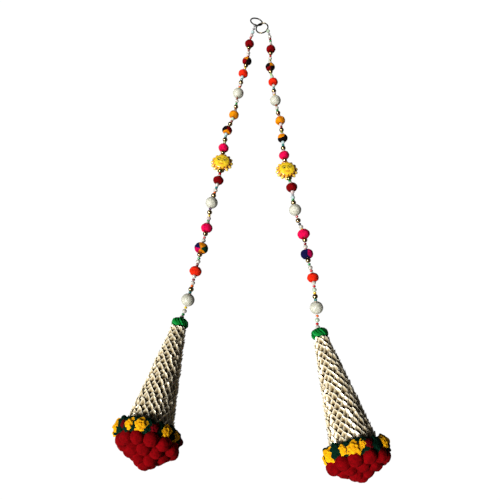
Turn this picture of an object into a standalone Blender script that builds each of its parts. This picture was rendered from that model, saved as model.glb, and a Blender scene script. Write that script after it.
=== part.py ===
"""A bead door hanging: two bead strings on linked rings, each ending in a gilt leaf tassel.

It lies on a flat surface at z = 0, as it is laid out for show: the rings lie at +Y, the tassels at
-Y, and the strings spread apart between them. Metres, +Z up, origin under the middle of the whole.
"""

import math
from collections import namedtuple

import bmesh
import bpy
import numpy as np
from mathutils import Matrix, Vector

MM = 0.001
CLEAR = 0.3 * MM

# Small beads on the thread: diameter, then length along the thread.
THREAD_RADIUS = 0.5 * MM
STRING_SIDES = 5
SMALL_BEADS = {
    "gold": (8.0 * MM, 8.0 * MM),
    "pearl": (6.2 * MM, 6.2 * MM),
    "seed": (4.0 * MM, 3.4 * MM),
}

# A small bead's outline as shares of its length and of its radius.
OUTLINES = {
    "gold": ((0.15, 0.71), (0.5, 1.0), (0.85, 0.71)),
    "pearl": ((0.22, 0.92), (0.78, 0.92)),
    "seed": ((0.2, 1.0), (0.8, 1.0)),
}
# Beads closer together than this share one ring of the string between them.
NEARLY_TOUCHING = 1.1 * MM

# Rings: bent wire, linked, each tipped against the other.
RING_RADIUS = 12.0 * MM
WIRE_RADIUS = 1.0 * MM
RING_SPACING = 21.0 * MM
RING_TILT = math.radians(15)
RINGS_MIDDLE = Vector((18.6 * MM, 846.0 * MM, 0))
RINGS_HEADING = Vector((0.523, -0.852, 0)).normalized()

# Big beads.
BEAD_SIDES = 10
BEAD_HOLE = 1.1 * MM
SUN_RADIUS = 19.2 * MM
SUN_FACE_RADIUS = 13.6 * MM
SUN_BACK_RADIUS = 12.5 * MM
SUN_RAYS = 14
SUN_THREAD_HEIGHT = 8.0 * MM
SUN_STANDOFF = 0.8 * MM

# Tassel, measured down its axis from the middle of the collar.
COLLAR_RADIUS = 12.4 * MM
COLLAR_HALF = 7.0 * MM
CONE_TOP = 7.4 * MM
CONE_FOOT = {"left": 150.0 * MM, "right": 154.0 * MM}
CONE_TOP_RADIUS = 7.5 * MM
CONE_FOOT_RADIUS = 27.0 * MM
CONE_STRIPS = 12
CONE_ROWS = 15
LEAF_TIP_OUT = 2.2 * MM
LEAF_KEEL_OUT = 0.8 * MM
LEAF_ROOT_IN = 0.7 * MM
NECK_RADIUS = 25.5 * MM
BAND_PLACE = {"left": 160.0 * MM, "right": 164.0 * MM}
BAND_INNER = 26.2 * MM
BAND_OUTER = 45.0 * MM
BAND_HALF = 9.0 * MM
BAND_FLOWERS = 13
CLUSTER_TOP = {"left": 169.6 * MM, "right": 173.6 * MM}
CLUSTER_MIDDLE = {"left": 171.0 * MM, "right": 175.0 * MM}
CLUSTER_BALL = 9.4 * MM
CLUSTER_OUT = 31.5 * MM
CLUSTER_DOWN = {"left": 20.6 * MM, "right": 15.6 * MM}
CLUSTER_CORE = 0.86
CLUSTER_PRESSED = 0.75
# Rows of pompoms: how many, their distance from the axis, how deep as a share of the whole, a turn.
CLUSTER_ROWS = (
    (12, 31.5 * MM, 0.08, 0.5),
    (8, 20.0 * MM, 0.45, 0.0),
    (4, 9.0 * MM, 0.80, 0.5),
    (1, 0.0, 1.0, 0.0),
)
# How far the pompoms stand to one side, at the backing and how much more at the tip.
CLUSTER_ASIDE = {"left": (4.0 * MM, 2.5 * MM), "right": (-1.0 * MM, -1.0 * MM)}
# How much further down the axis a tassel's foot lies on its upper side than in its middle.
LEAN = {"left": -3.0 * MM, "right": 3.0 * MM}

# How low the thread dips between two big beads that are at least this far apart; less when nearer.
DIP_TO = 5.5 * MM
FULL_DIP_SPAN = 45.0 * MM

Station = namedtuple("Station", "kind colour size x y strung")

# One row for each big bead, from the ring down: what it is, its yarn colour, its diameter, where it
# lies (millimetres), and the small beads strung on the thread just above it.
LEFT = (
    Station("pom", "maroon", 18, -1.0, 788.0, "seed seed pearl pearl seed seed"),
    Station("pom", "mixed", 18, -5.7, 742.0, "gold seed pearl pearl seed seed"),
    Station("pom", "orange", 18, -12.8, 709.9, "gold seed pearl"),
    Station("sugar", "white", 20, -21.6, 660.8, "pearl seed gold pearl seed seed"),
    Station("pom", "yellow", 18, -28.7, 610.5, "seed pearl seed gold seed pearl"),
    Station("pom", "mixed", 18, -40.2, 575.6, "pearl seed gold pearl"),
    Station("pom", "pink", 18, -45.6, 537.2, "pearl seed gold seed pearl"),
    Station("sun", "yellow", 38, -48.1, 508.8, "gold"),
    Station("pom", "maroon", 18, -52.8, 470.5, "gold seed pearl"),
    Station("sugar", "white", 20, -62.4, 426.5, "pearl seed pearl seed gold"),
    Station("pom", "pink", 19, -68.7, 379.9, "seed gold seed pearl seed pearl"),
    Station("pom", "mixed", 22, -75.7, 343.4, "gold seed pearl seed"),
    Station("pom", "orange", 19, -82.9, 305.0, "gold seed pearl seed seed"),
    Station("sugar", "white", 20, -92.0, 258.4, "pearl seed pearl seed gold seed"),
    Station("collar", "green", 31, -101.4, 220.9, "seed pearl seed pearl"),
)
RIGHT = (
    Station("pom", "maroon", 18, 40.4, 773.6, "pearl seed pearl seed seed seed pearl"),
    Station("pom", "mixed", 18, 38.1, 726.7, "gold seed pearl seed pearl seed"),
    Station("pom", "orange", 18, 43.0, 688.9, "gold seed pearl seed"),
    Station("sugar", "white", 20, 46.2, 643.4, "pearl seed gold pearl seed"),
    Station("pom", "yellow", 18, 53.9, 597.5, "seed pearl seed gold seed pearl"),
    Station("pom", "mixed", 18, 56.9, 558.6, "pearl seed gold seed pearl"),
    Station("pom", "pink", 18, 58.5, 521.8, "pearl seed gold pearl"),
    Station("sun", "yellow", 38, 62.3, 493.4, "gold"),
    Station("pom", "maroon", 19, 69.1, 456.2, "gold seed pearl"),
    Station("sugar", "white", 20, 73.1, 413.0, "pearl seed pearl seed gold"),
    Station("pom", "pink", 20, 84.7, 368.7, "seed gold seed pearl seed"),
    Station("pom", "mixed", 20, 88.0, 333.6, "gold seed pearl seed"),
    Station("pom", "orange", 18, 95.4, 294.6, "gold seed pearl seed seed"),
    Station("sugar", "white", 20, 97.8, 246.2, "pearl seed pearl seed gold seed"),
    Station("collar", "green", 31, 99.7, 205.4, "seed pearl seed pearl"),
)

# Each tassel points away from the string: how far it swings off -Y, and how far its foot is raised.
TASSEL_SWING = {"left": math.radians(-10.2), "right": math.radians(11.2)}
TASSEL_RISE = math.radians(10.4)

COLOURS = {
    "maroon": (0.30, 0.01, 0.02),
    "mixed": (0.16, 0.02, 0.08),
    "orange": (0.85, 0.08, 0.02),
    "yellow": (0.90, 0.42, 0.03),
    "pink": (0.72, 0.02, 0.12),
    "white": (0.72, 0.71, 0.60),
    "green": (0.01, 0.22, 0.04),
}


def material(name, colour, roughness=0.8, metallic=0.0):
    """The material of this name, made the first time it is asked for."""
    made = bpy.data.materials.get(name)
    if made is None:
        made = bpy.data.materials.new(name)
        made.use_nodes = True
        finish = made.node_tree.nodes["Principled BSDF"]
        finish.inputs["Base Color"].default_value = (*colour, 1)
        finish.inputs["Roughness"].default_value = roughness
        finish.inputs["Metallic"].default_value = metallic
    return made


def new_object(name, mesh, finish, smooth=True):
    """An object for one piece, shaded smooth across its gentle edges."""
    mesh.materials.append(finish)
    if smooth:
        mesh.shade_smooth()
        mesh.set_sharp_from_angle(angle=math.radians(50))
    piece = bpy.data.objects.new(name, mesh)
    bpy.context.scene.collection.objects.link(piece)
    return piece


def grid_mesh(name, rows, closed_rows=False):
    """A closed surface through rows of points, each row a ring round the piece.

    The rings join one to the next. With closed_rows the last ring joins the first, as on a torus;
    otherwise each end is closed with a fan to the middle of its ring.
    """
    mesh = bpy.data.meshes.new(name)
    shape = bmesh.new()
    rings = [[shape.verts.new(point) for point in row] for row in rows]
    pairs = list(zip(rings, rings[1:]))
    if closed_rows:
        pairs.append((rings[-1], rings[0]))
    else:
        for ring in (rings[0], rings[-1]):
            middle = shape.verts.new(sum((v.co for v in ring), Vector()) / len(ring))
            for i in range(len(ring)):
                shape.faces.new((ring[i], ring[(i + 1) % len(ring)], middle))
    for low, high in pairs:
        for i in range(len(low)):
            j = (i + 1) % len(low)
            shape.faces.new((low[i], low[j], high[j], high[i]))
    bmesh.ops.recalc_face_normals(shape, faces=shape.faces)
    shape.to_mesh(mesh)
    shape.free()
    return mesh


def turned_mesh(name, outline, sides):
    """A turned ring or bored bead: a closed outline of (radius, height) carried round local Z.

    A flat side, not an edge, faces local -Y, so that the bead lies flat on the surface.
    """
    first = -math.pi / 2 + math.pi / sides
    turns = [first + 2 * math.pi * k / sides for k in range(sides)]
    rows = [[Vector((r * math.cos(a), r * math.sin(a), h)) for a in turns] for r, h in outline]
    return grid_mesh(name, rows, closed_rows=True)


def pom_outline(size):
    """A wool pom with its thread hole, drawn in to a hollow at each pole where a bead nestles."""
    radius = size / 2
    half = ((BEAD_HOLE, 0.235 * size), (0.55 * radius, 0.385 * size), (radius, 0.14 * size))
    return half + tuple((r, -h) for r, h in reversed(half))


def sugar_outline(size):
    """A round bead with a plain thread hole."""
    radius = size / 2
    half = ((BEAD_HOLE, 0.97 * radius), (0.68 * radius, 0.73 * radius), (radius, 0.27 * radius))
    return half + tuple((r, -h) for r, h in reversed(half))


def seat(row):
    """Half the length of thread that a big bead takes up, from its middle to the next bead."""
    size = row.size * MM
    if row.kind == "pom":
        return 0.28 * size
    if row.kind == "sugar":
        return 0.495 * size
    if row.kind == "sun":
        return SUN_FACE_RADIUS + SUN_STANDOFF
    return COLLAR_HALF + CLEAR


def lie_height(row):
    """How high a big bead's middle lies when its flat side is on the surface."""
    if row.kind == "sun":
        return SUN_THREAD_HEIGHT
    if row.kind == "collar":
        return COLLAR_RADIUS - CLEAR
    return row.size * MM / 2 * math.cos(math.pi / BEAD_SIDES)


def tassel_axis(side):
    """The way a tassel hangs from its collar: along -Y, swung aside, its foot raised."""
    swing = TASSEL_SWING[side]
    flat = math.cos(TASSEL_RISE)
    return Vector((flat * math.sin(swing), -flat * math.cos(swing), math.sin(TASSEL_RISE)))


def headings(side, rows, places):
    """The thread's direction through each big bead: level, from the bead above to the bead below."""
    found = []
    for i in range(len(rows)):
        if rows[i].kind == "collar":
            found.append(tassel_axis(side))
            continue
        above = places[max(i - 1, 0)]
        way = places[i + 1] - above
        found.append(Vector((way.x, way.y, 0)).normalized())
    return found


def ring_frame(side):
    """Middle, heading, across and upright directions of a ring; the two tip opposite ways."""
    sign = -1 if side == "left" else 1
    along = RINGS_HEADING
    level = Vector((-along.y, along.x, 0))
    across = level * math.cos(RING_TILT) + Vector((0, 0, sign * math.sin(RING_TILT)))
    middle = RINGS_MIDDLE + along * (sign * RING_SPACING / 2)
    middle.z = WIRE_RADIUS + RING_RADIUS * math.sin(RING_TILT)
    return middle, along, across, along.cross(across)


def hook_points(side):
    """The thread's hook round the ring's wire, and the way it then leaves the ring."""
    middle, along, across, upright = ring_frame(side)
    turn = math.radians(-46 if side == "left" else 26)
    outward = along * math.cos(turn) + across * math.sin(turn)
    wire = middle + outward * RING_RADIUS
    reach = WIRE_RADIUS + THREAD_RADIUS + CLEAR + 0.1 * MM
    angles = np.radians(np.linspace(300, 90, 11))
    points = [wire + (outward * math.cos(a) + upright * math.sin(a)) * reach for a in angles]
    return points, outward


def span(start, start_way, end, end_way, dip, bend):
    """A smooth run of thread between two big beads, as 121 points.

    A cubic that leaves along start_way and arrives along end_way, let down by dip in its middle.
    """
    length = (end - start).length
    t = np.linspace(0, 1, 121)[:, None]
    p0, p1 = np.array(start), np.array(end)
    m0, m1 = np.array(start_way) * length * bend, np.array(end_way) * length
    points = (2 * t**3 - 3 * t**2 + 1) * p0 + (t**3 - 2 * t**2 + t) * m0
    points = points + (-2 * t**3 + 3 * t**2) * p1 + (t**3 - t**2) * m1
    points[:, 2] -= dip * np.sin(math.pi * t[:, 0]) ** 2
    return points


def string_stations(length, beads):
    """(place along a run, radius) for each ring of the string: the thread and its small beads.

    The spare thread is shared evenly between the beads. Beads that nearly touch share one ring.
    """
    taken = sum(SMALL_BEADS[bead][1] for bead in beads)
    gap = (length - taken) / (len(beads) + 1)
    if gap < 0:
        raise ValueError(f"{len(beads)} beads are {-gap * (len(beads) + 1) / MM:.1f} mm too long")
    stations = [(gap, THREAD_RADIUS)]
    place = gap
    for number, bead in enumerate(beads, 1):
        across, along = SMALL_BEADS[bead]
        outline = OUTLINES[bead]
        stations += [(place + share * along, radius * across / 2) for share, radius in outline]
        place += along
        if number == len(beads):
            stations.append((place, THREAD_RADIUS))
        elif gap < NEARLY_TOUCHING:
            stations.append((place + gap / 2, THREAD_RADIUS))
        else:
            stations += [(place, THREAD_RADIUS), (place + gap, THREAD_RADIUS)]
        place += gap
    return stations


def string_mesh(name, side, rows, places, ways):
    """The doubled thread from its hook to the tassel, with the small beads as swellings on it."""
    points, leaving = hook_points(side)
    radii = [THREAD_RADIUS] * len(points)
    start, start_way, bend = points[-1], leaving, 0.3
    height = places[0].z
    for row, place, way in zip(rows, places, ways):
        end = place - way * seat(row)
        dip = max(0.0, min(height, place.z) - DIP_TO)
        dip *= min(1.0, (end - start).length / FULL_DIP_SPAN)
        run = span(start, start_way, end, way, dip, bend)
        travelled = np.concatenate([[0], np.cumsum(np.linalg.norm(np.diff(run, axis=0), axis=1))])
        for at, radius in string_stations(travelled[-1], row.strung.split()):
            points.append(Vector([np.interp(at, travelled, run[:, axis]) for axis in range(3)]))
            radii.append(radius)
        start, start_way, bend = place + way * seat(row), way, 1.0
        height = place.z
    points.append(start + ways[-1] * 4 * MM)
    radii.append(THREAD_RADIUS)
    rings = []
    for i, (point, radius) in enumerate(zip(points, radii)):
        way = (points[min(i + 1, len(points) - 1)] - points[max(i - 1, 0)]).normalized()
        aside = (Vector((1, 0, 0)) - way * way.x).normalized()
        other = way.cross(aside)
        turns = [2 * math.pi * k / STRING_SIDES for k in range(STRING_SIDES)]
        rings.append([point + (aside * math.cos(a) + other * math.sin(a)) * radius for a in turns])
    return grid_mesh(name, rings)


def sun_mesh(name):
    """A domed face on a round back, with pointed rays out of its side; flat below, local Z up.

    Each row of the table is a ring: radius between two rays, radius at a ray's tip, height.
    """
    valley = SUN_FACE_RADIUS + 0.6 * MM
    table = (
        (SUN_BACK_RADIUS, SUN_BACK_RADIUS, 0.0),
        (valley - 0.8 * MM, valley, 2.2 * MM),
        (valley, SUN_RADIUS, 3.0 * MM),
        (valley, SUN_RADIUS, 4.6 * MM),
        (valley - 0.2 * MM, SUN_FACE_RADIUS + 0.8 * MM, 6.0 * MM),
        (SUN_FACE_RADIUS, SUN_FACE_RADIUS, 9.4 * MM),
        (0.84 * SUN_FACE_RADIUS, 0.84 * SUN_FACE_RADIUS, 11.5 * MM),
        (0.5 * SUN_FACE_RADIUS, 0.5 * SUN_FACE_RADIUS, 12.8 * MM),
    )
    rows = []
    for between, tip, height in table:
        turns = [math.pi * k / SUN_RAYS for k in range(2 * SUN_RAYS)]
        radii = [tip if k % 2 else between for k in range(2 * SUN_RAYS)]
        rows.append([Vector((r * math.cos(a), r * math.sin(a), height)) for r, a in zip(radii, turns)])
    return grid_mesh(name, rows)


def bored_along(piece, direction, length):
    """Cuts the thread hole through a finished piece with a straight round cutter."""
    cutter_mesh = bpy.data.meshes.new(piece.name + ".bore")
    shape = bmesh.new()
    bmesh.ops.create_cone(
        shape, cap_ends=True, segments=8, radius1=BEAD_HOLE, radius2=BEAD_HOLE, depth=length
    )
    shape.to_mesh(cutter_mesh)
    shape.free()
    cutter = bpy.data.objects.new(piece.name + ".bore", cutter_mesh)
    bpy.context.scene.collection.objects.link(cutter)
    cutter.hide_render = True
    cutter.display_type = "WIRE"
    cutter.rotation_mode = "QUATERNION"
    cutter.rotation_quaternion = direction.to_track_quat("Z", "Y")
    cutter.location = Vector((piece.location.x, piece.location.y, SUN_THREAD_HEIGHT))
    cut = piece.modifiers.new("Thread hole", "BOOLEAN")
    cut.operation = "DIFFERENCE"
    cut.object = cutter


def lay_on_surface(piece, matrix):
    """Presses flat whatever would reach below the surface that the whole lies on."""
    back = matrix.inverted()
    for vertex in piece.data.vertices:
        place = matrix @ vertex.co
        if place.z < 0:
            place.z = 0
            vertex.co = back @ place


def collar_mesh(name):
    """A thick ring of looped yarn, lumpy on its outside, bored for the thread; local Z runs up."""
    sides, lumps = 20, 7
    hole = 0.1
    outline = ((hole, 0.62), (0.45, 1.0), (0.85, 0.66), (1.0, 0.0))
    outline += ((0.82, -0.72), (0.40, -0.98), (hole, -0.75))
    rows = []
    for share, height in outline:
        row = []
        for k in range(sides):
            angle = 2 * math.pi * (k + 0.5) / sides - math.pi / 2
            lump = 1 + 0.05 * (share > hole) * math.cos(lumps * angle + 3 * height)
            out = share * COLLAR_RADIUS * lump
            row.append(Vector((out * math.cos(angle), out * math.sin(angle), height * COLLAR_HALF)))
        rows.append(row)
    return grid_mesh(name, rows, closed_rows=True)


def leaned(point, side):
    """A point of a tassel moved along its axis, since the tassel sags over to its foot as it lies."""
    share = min(1.0, -point.z / BAND_PLACE[side])
    return point + Vector((0, 0, LEAN[side] * share * point.y / BAND_OUTER))


def cone_mesh(name, side):
    """Strips of folded gilt leaves round a cone, their tips raised upwards and outwards.

    Columns run down the middle and the edge of each strip; each row of leaves is two rings, the
    tips and the roots, and the rings zigzag so that each strip shows a row of V-shaped leaves.
    """
    columns = 2 * CONE_STRIPS
    pitch = (CONE_FOOT[side] - CONE_TOP) / (CONE_ROWS + 0.5)
    slope = (CONE_FOOT_RADIUS - CONE_TOP_RADIUS) / (CONE_FOOT[side] - CONE_TOP)

    def ring(down, keel_down, tip, keel):
        row = []
        for k in range(columns):
            at = down + (keel_down if k % 2 else 0)
            radius = CONE_TOP_RADIUS + slope * (at - CONE_TOP) + (keel if k % 2 else tip)
            angle = 2 * math.pi * (k + 0.5) / columns
            row.append(leaned(Vector((radius * math.cos(angle), radius * math.sin(angle), -at)), side))
        return row

    rows = []
    for index in range(CONE_ROWS):
        down = CONE_TOP + index * pitch
        lift = min(1.0, 0.4 + 0.2 * index)
        keel_down = 0.4 * pitch if index else 0
        rows.append(ring(down, keel_down, LEAF_TIP_OUT * lift, LEAF_KEEL_OUT * lift))
        rows.append(ring(down + 0.82 * pitch, 0.4 * pitch, -LEAF_ROOT_IN * lift, -LEAF_ROOT_IN * lift))
    for down in (CONE_FOOT[side], CLUSTER_TOP[side] - CLEAR):
        turns = [2 * math.pi * (k + 0.5) / columns for k in range(columns)]
        neck = [(NECK_RADIUS * math.cos(a), NECK_RADIUS * math.sin(a), -down) for a in turns]
        rows.append([leaned(Vector(point), side) for point in neck])
    return grid_mesh(name, rows)


def sink_socket(piece):
    """A short round socket in the top of the cone, where the thread is tied off."""
    cutter_mesh = bpy.data.meshes.new(piece.name + ".socket")
    shape = bmesh.new()
    bmesh.ops.create_cone(
        shape, cap_ends=True, segments=8, radius1=1.2 * MM, radius2=1.2 * MM, depth=16 * MM
    )
    shape.to_mesh(cutter_mesh)
    shape.free()
    cutter = bpy.data.objects.new(piece.name + ".socket", cutter_mesh)
    bpy.context.scene.collection.objects.link(cutter)
    cutter.hide_render = True
    cutter.display_type = "WIRE"
    cutter.parent = piece.parent
    cutter.location = (0, 0, -CONE_TOP)
    cut = piece.modifiers.new("Thread socket", "BOOLEAN")
    cut.operation = "DIFFERENCE"
    cut.object = cutter


def band_mesh(name, side):
    """A ring of yarn flowers sewn side by side, each a round lump with a dip before the next."""
    around, section = 3 * BAND_FLOWERS, 7
    middle = (BAND_INNER + BAND_OUTER) / 2
    reach = (BAND_OUTER - BAND_INNER) / 2
    rows = []
    for k in range(around):
        angle = 2 * math.pi * (k + 0.5) / around - math.pi / 2
        lump = (1.0, 0.80, 0.94)[k % 3]
        row = []
        for j in range(section):
            turn = 2 * math.pi * j / section
            off = reach * math.cos(turn)
            radius = middle + (off * lump + reach * (lump - 1) * 0.5 if off > 0 else off)
            height = BAND_HALF * lump * math.sin(turn) - BAND_PLACE[side]
            place = Vector((radius * math.cos(angle), radius * math.sin(angle), height))
            row.append(leaned(place, side))
        rows.append(row)
    return grid_mesh(name, rows, closed_rows=True)


def pompom_places(side):
    """Middles of a tassel's pompoms from the middle of their backing; those beneath are pressed up."""
    places = []
    for count, out, depth, turn in CLUSTER_ROWS:
        for k in range(count):
            around = 2 * math.pi * (k + turn) / count
            under = out * math.sin(around)
            under *= CLUSTER_PRESSED if under > 0 else 1
            places.append((out * math.cos(around), under, -depth * CLUSTER_DOWN[side]))
    return np.array(places)


def cluster_mesh(name, side):
    """Wool pompoms on a shared backing, as the outermost of their balls along each ray.

    From the middle of the backing, a ray in direction d meets a ball of radius b at place p at
    d.p + sqrt(b^2 - |p|^2 + (d.p)^2); where it meets none, the backing's own dome shows.
    """
    places = pompom_places(side)
    columns, rings = 36, 13
    top = CLUSTER_MIDDLE[side] - CLUSTER_TOP[side]
    widest = math.acos(-top / (CLUSTER_OUT + CLUSTER_BALL))
    at_backing, at_tip = CLUSTER_ASIDE[side]
    rows = []
    for j in range(rings):
        tilt = widest * (1 - j / rings)
        row = []
        for k in range(columns):
            around = 2 * math.pi * (k + 0.5) / columns
            out, down = math.sin(tilt), math.cos(tilt)
            way = np.array((out * math.cos(around), out * math.sin(around), -down))
            along = places @ way
            under = CLUSTER_BALL**2 - (places**2).sum(1) + along**2
            hits = along + np.sqrt(np.maximum(under, 0))
            pressed = CLUSTER_PRESSED if way[1] > 0 else 1
            dome = np.array((CLUSTER_OUT, CLUSTER_OUT * pressed, CLUSTER_DOWN[side]))
            core = CLUSTER_CORE / math.sqrt(((way / dome) ** 2).sum())
            reach = max([core, *hits[(under > 0) & (along > 0)]])
            height = top if j == 0 else min(-reach * down, top)
            aside = at_backing - at_tip * min(0, height) / CLUSTER_DOWN[side]
            place = Vector((way[0] * reach + aside, way[1] * reach, height - CLUSTER_MIDDLE[side]))
            row.append(leaned(place, side))
        rows.append(row)
    return grid_mesh(name, rows)


def make_ring(side):
    """A plain wire ring, from which the string hangs in use."""
    middle, along, across, upright = ring_frame(side)
    steps = [2 * math.pi * k / 5 for k in range(5)]
    outline = [(RING_RADIUS + WIRE_RADIUS * math.cos(a), WIRE_RADIUS * math.sin(a)) for a in steps]
    steel = material("ring steel", (0.30, 0.29, 0.27), 0.3, 1.0)
    ring = new_object("ring_" + side, turned_mesh("ring_" + side, outline, 28), steel)
    turn = Matrix((along, across, upright)).transposed().to_4x4()
    ring.matrix_world = Matrix.Translation(middle) @ turn


def make_string(side, rows):
    """The thread with its small beads, and the big beads that it runs through."""
    places = [Vector((row.x * MM, row.y * MM, lie_height(row))) for row in rows]
    ways = headings(side, rows, places)
    mesh = string_mesh("string_" + side, side, rows, places, ways)
    new_object("string_" + side, mesh, material("small beads", (0.75, 0.66, 0.50), 0.3, 0.0))
    counts = {}
    for row, place, way in zip(rows, places, ways):
        if row.kind == "collar":
            continue
        counts[row.kind] = counts.get(row.kind, 0) + 1
        name = f"{row.kind}_{side}_{counts[row.kind]:02d}"
        if row.kind == "sun":
            name = f"sun_{side}"
            bead = new_object(name, sun_mesh(name), material("sun paint", (0.85, 0.55, 0.03), 0.45))
            bead.location = (place.x, place.y, 0)
            bead.rotation_euler = (0, 0, math.atan2(way.y, way.x))
            bored_along(bead, way, 3 * SUN_RADIUS)
            continue
        outline = pom_outline if row.kind == "pom" else sugar_outline
        wool = material(f"{row.kind} {row.colour}", COLOURS[row.colour], 0.95)
        bead = new_object(name, turned_mesh(name, outline(row.size * MM), BEAD_SIDES), wool)
        bead.location = place
        bead.rotation_mode = "QUATERNION"
        bead.rotation_quaternion = way.to_track_quat("Z", "Y")
    return places[-1]


def make_tassel(side, head):
    """Collar, leaf cone, flower band and pompoms, modelled hanging down and then laid over."""
    hang = bpy.data.objects.new("tassel_" + side, None)
    bpy.context.scene.collection.objects.link(hang)
    hang.location = head
    hang.rotation_euler = (-math.pi / 2 - TASSEL_RISE, 0, TASSEL_SWING[side])
    laid = Matrix.Translation(head) @ hang.rotation_euler.to_matrix().to_4x4()
    green = material("collar green", COLOURS["green"], 0.95)
    gilt = material("gilt leaves", (0.72, 0.60, 0.38), 0.3, 1.0)
    flowers = material("band yellow", COLOURS["yellow"], 0.95)
    wool = material("pompom red", COLOURS["maroon"], 0.95)
    names = [f"{part}_{side}" for part in ("collar", "cone", "band", "pompoms")]
    pieces = (
        new_object(names[0], collar_mesh(names[0]), green),
        new_object(names[1], cone_mesh(names[1], side), gilt, smooth=False),
        new_object(names[2], band_mesh(names[2], side), flowers),
        new_object(names[3], cluster_mesh(names[3], side), wool),
    )
    for piece in pieces:
        piece.parent = hang
        lay_on_surface(piece, laid)
    sink_socket(pieces[1])


def centre_on_origin():
    """Moves the whole so that the middle of its box lies over the origin."""
    bpy.context.view_layer.update()
    shown = [o for o in bpy.data.objects if o.type == "MESH" and not o.hide_render]
    corners = [o.matrix_world @ v.co for o in shown for v in o.data.vertices]
    middle_x = (min(c.x for c in corners) + max(c.x for c in corners)) / 2
    middle_y = (min(c.y for c in corners) + max(c.y for c in corners)) / 2
    print(f"box middle before the move: {middle_x / MM:.3f}, {middle_y / MM:.3f} mm")
    for o in bpy.data.objects:
        if o.parent is None:
            o.location -= Vector((middle_x, middle_y, 0))


for old in list(bpy.data.objects):
    bpy.data.objects.remove(old)

for side, rows in (("left", LEFT), ("right", RIGHT)):
    make_ring(side)
    make_tassel(side, make_string(side, rows))
centre_on_origin()
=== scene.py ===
"""A bead door hanging, laid out flat: two bead strings on linked rings, each with a gilt leaf tassel.

Metres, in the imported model's frame: X runs across, Y from the tassels to the rings, Z up from the
surface that the hanging lies on.
"""

import math
from collections import namedtuple

import bpy
import numpy as np
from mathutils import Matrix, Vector


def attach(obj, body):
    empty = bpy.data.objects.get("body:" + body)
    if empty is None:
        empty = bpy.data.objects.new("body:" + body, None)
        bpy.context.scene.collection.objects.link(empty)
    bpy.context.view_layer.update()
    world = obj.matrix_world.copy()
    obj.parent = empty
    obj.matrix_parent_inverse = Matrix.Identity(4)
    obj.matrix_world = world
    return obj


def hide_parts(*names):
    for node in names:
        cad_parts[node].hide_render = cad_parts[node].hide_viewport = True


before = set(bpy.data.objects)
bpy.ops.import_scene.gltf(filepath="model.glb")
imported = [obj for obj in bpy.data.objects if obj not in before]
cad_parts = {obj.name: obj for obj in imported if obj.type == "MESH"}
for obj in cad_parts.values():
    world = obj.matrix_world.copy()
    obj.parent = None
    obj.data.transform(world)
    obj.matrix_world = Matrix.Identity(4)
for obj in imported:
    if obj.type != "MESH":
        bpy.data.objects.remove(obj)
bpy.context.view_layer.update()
MM = 0.001

# ---- The table and the light ----
# The hanging lies on a white table, seen from over its tassels and slantwise up to the rings. A broad
# lamp stands low on the left, in front, and the room is dim on the other side.
PLAN_ZERO = np.array((-1.243, -439.782, 0.0)) * MM
EYE_HEIGHT = 708 * MM
TABLE_LEVEL = -0.4 * MM

camera = bpy.data.objects.new("camera", bpy.data.cameras.new("camera"))
camera.location = Vector(PLAN_ZERO) + Vector((0, 0, EYE_HEIGHT))
camera.rotation_euler = (math.radians(26), 0, 0)
camera.data.lens = 36
camera.data.sensor_width = 36
camera.data.clip_start = 0.01
bpy.context.scene.collection.objects.link(camera)
bpy.context.scene.camera = camera
bpy.context.scene.view_settings.view_transform = "Standard"

lamp = bpy.data.objects.new("lamp", bpy.data.lights.new("lamp", "SUN"))
lamp.data.energy = 5.0
lamp.data.angle = math.radians(24)
lamp.rotation_euler = Vector((1.0, 0.75, -1.05)).to_track_quat("-Z", "Y").to_euler()
bpy.context.scene.collection.objects.link(lamp)


def wire(tree, kind, inputs=None, **settings):
    """A shader node of this kind, with its settings, and its inputs set or linked by name or number."""
    made = tree.nodes.new(kind)
    for name, value in settings.items():
        setattr(made, name, value)
    for name, value in (inputs or {}).items():
        if isinstance(value, bpy.types.NodeSocket):
            tree.links.new(value, made.inputs[name])
        else:
            made.inputs[name].default_value = value
    return made


def stretch(tree, value, low, high, to_low=0.0, to_high=1.0, ease="LINEAR"):
    """A value between low and high, stretched to lie between to_low and to_high."""
    given = {"Value": value, "From Min": low, "From Max": high, "To Min": to_low, "To Max": to_high}
    return wire(tree, "ShaderNodeMapRange", given, interpolation_type=ease).outputs["Result"]


room = bpy.data.worlds.new("room")
room.use_nodes = True
bpy.context.scene.world = room
aim = wire(room.node_tree, "ShaderNodeTexCoord").outputs["Generated"]
to_lamp = wire(
    room.node_tree, "ShaderNodeVectorMath", {0: aim, 1: (-0.61, -0.46, 0.64)}, operation="DOT_PRODUCT"
).outputs["Value"]
glow = stretch(room.node_tree, to_lamp, -0.5, 0.9, 0.12, 1.3, "SMOOTHSTEP")
room.node_tree.links.new(glow, room.node_tree.nodes["Background"].inputs["Strength"])

table = bpy.data.objects.new("table", bpy.data.meshes.new("table"))
table.data.from_pydata(
    [(x, y, TABLE_LEVEL) for x, y in ((-4, -4), (4, -4), (4, 4), (-4, 4))], [], [(0, 1, 2, 3)]
)
paper = bpy.data.materials.new("white table")
paper.use_nodes = True
tree = paper.node_tree
tree.nodes.clear()
seen = wire(tree, "ShaderNodeLightPath").outputs["Is Camera Ray"]
share = wire(tree, "ShaderNodeMath", {0: seen, 1: 0.92}, operation="MULTIPLY").outputs[0]
matt = wire(tree, "ShaderNodeBsdfDiffuse", {"Color": (0.24, 0.24, 0.24, 1)}).outputs[0]
lit = wire(tree, "ShaderNodeEmission", {"Color": (1, 1, 1, 1), "Strength": 1.10}).outputs[0]
blank = wire(tree, "ShaderNodeMixShader", {0: share, 1: matt, 2: lit}).outputs[0]
wire(tree, "ShaderNodeOutputMaterial", {"Surface": blank})
table.data.materials.append(paper)
bpy.context.scene.collection.objects.link(table)

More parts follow.
